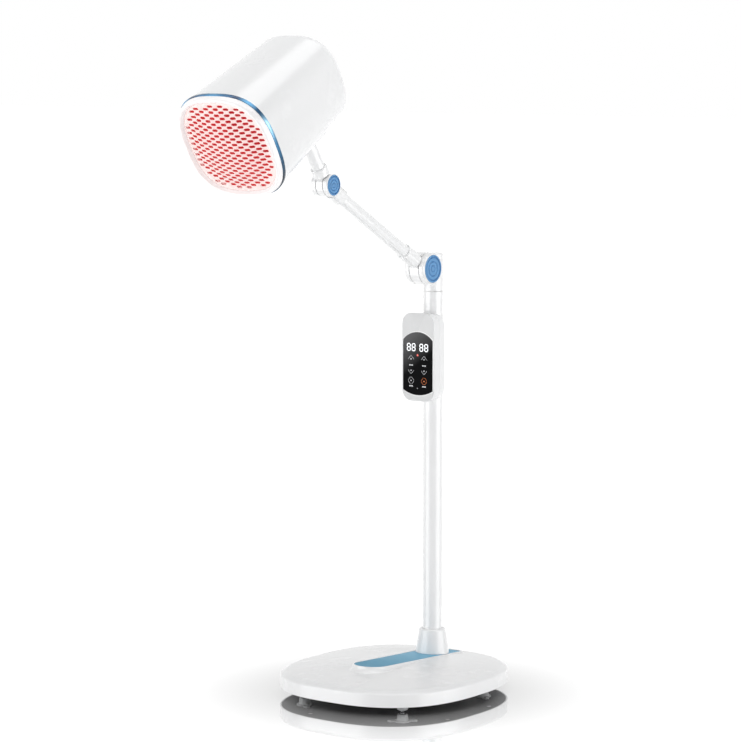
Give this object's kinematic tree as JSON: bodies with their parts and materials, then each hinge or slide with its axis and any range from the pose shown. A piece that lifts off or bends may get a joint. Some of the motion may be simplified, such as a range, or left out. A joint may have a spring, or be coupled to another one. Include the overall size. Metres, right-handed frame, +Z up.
{
  "type": "infrared heat lamp on a floor stand",
  "caption": "Rolling floor lamp with a domed slotted heat guard, a jointed swing arm and a touch control box on its pole.",
  "frame": {"origin": "on the floor under the middle of the base", "axes": "+X the way the lamp faces, +Y along the joint pins, +Z up the pole"},
  "size_m": [0.6448, 0.331, 1.0599],
  "materials": {
    "white_plastic": "moulded gloss white",
    "white_metal": "gloss white enamel",
    "blue_plastic": "metallic light blue",
    "blue_ring": "metallic blue, lacquered",
    "guard_metal": "pierced sheet, white enamel",
    "tray_plastic": "textured underside",
    "dark_plastic": "plain moulded",
    "board": "coated circuit board",
    "black_glass": "black, polished",
    "cast_metal": "as cast",
    "steel": "zinc plated",
    "caster_metal": "light grey enamel",
    "ball_steel": "polished",
    "bright_sheet": "bright rolled",
    "ceramic": "matt glazed ceramic"
  },
  "bodies": {
    "stand": {"base_cover": "white_plastic", "inlay_strip": "blue_plastic", "base_tray": "tray_plastic", "ballast_plate": "cast_metal", "cover_screws": "steel", "cable_gland": "dark_plastic", "pole_socket": "steel", "socket_bolts": "steel", "pole_boot": "white_plastic", "pole_tube": "white_metal", "pan_bush": "dark_plastic", "caster_screws": "steel", "caster_housing_1": "caster_metal", "caster_housing_2": "caster_metal", "caster_housing_3": "caster_metal", "caster_housing_4": "caster_metal", "control_front": "white_plastic", "control_back": "white_plastic", "control_glass": "black_glass", "control_board": "board", "display_module": "dark_plastic", "relay_block": "dark_plastic", "control_screws": "steel", "clamp_screws": "steel"},
    "ball_1": {"caster_ball_1": "ball_steel"},
    "ball_2": {"caster_ball_2": "ball_steel"},
    "ball_3": {"caster_ball_3": "ball_steel"},
    "ball_4": {"caster_ball_4": "ball_steel"},
    "shoulder": {"elbow_yoke": "white_metal", "elbow_pin": "steel", "elbow_nut": "steel", "elbow_washers": "dark_plastic", "elbow_cap_right": "blue_plastic", "elbow_cap_left": "blue_plastic"},
    "arm": {"elbow_hub": "white_metal", "arm_tube": "white_metal", "wrist_yoke": "white_metal", "wrist_pin": "steel", "wrist_nut": "steel", "wrist_washers": "dark_plastic", "wrist_cap_right": "blue_plastic", "wrist_cap_left": "blue_plastic"},
    "neck": {"wrist_hub": "white_metal"},
    "head": {"neck_tube": "white_metal", "head_saddle": "white_plastic", "saddle_screws": "steel", "head_shell": "white_plastic", "head_ring": "blue_ring", "head_bezel": "white_plastic", "head_guard": "guard_metal", "reflector": "bright_sheet", "heater_plate": "ceramic", "heater_posts": "ceramic", "heat_shield": "bright_sheet", "terminal_block": "dark_plastic"}
  },
  "joints": [
    {"name": "ball_1_roll", "type": "hinge", "parent": "stand", "child": "ball_1", "pos_m": [0.112, 0.098, 0.0065], "axis": [0, 1, 0], "continuous": true},
    {"name": "ball_2_roll", "type": "hinge", "parent": "stand", "child": "ball_2", "pos_m": [0.112, -0.098, 0.0065], "axis": [0, 1, 0], "continuous": true},
    {"name": "ball_3_roll", "type": "hinge", "parent": "stand", "child": "ball_3", "pos_m": [-0.112, 0.098, 0.0065], "axis": [0, 1, 0], "continuous": true},
    {"name": "ball_4_roll", "type": "hinge", "parent": "stand", "child": "ball_4", "pos_m": [-0.112, -0.098, 0.0065], "axis": [0, 1, 0], "continuous": true},
    {"name": "arm_pan", "type": "hinge", "parent": "stand", "child": "shoulder", "pos_m": [-0.106, 0, 0.6461], "axis": [0, 0, 1], "range_deg": [-165, 165]},
    {"name": "elbow_tilt", "type": "hinge", "parent": "shoulder", "child": "arm", "pos_m": [-0.078, 0, 0.685], "axis": [0, 1, 0], "range_deg": [-55, 70]},
    {"name": "wrist_tilt", "type": "hinge", "parent": "arm", "child": "neck", "pos_m": [0.181, 0, 0.83035], "axis": [0, 1, 0], "range_deg": [-60, 75]},
    {"name": "head_swivel", "type": "hinge", "parent": "neck", "child": "head", "pos_m": [0.181, 0, 0.83035], "axis": [0.5592, 0, 0.829], "range_deg": [-90, 90]}
  ]
}
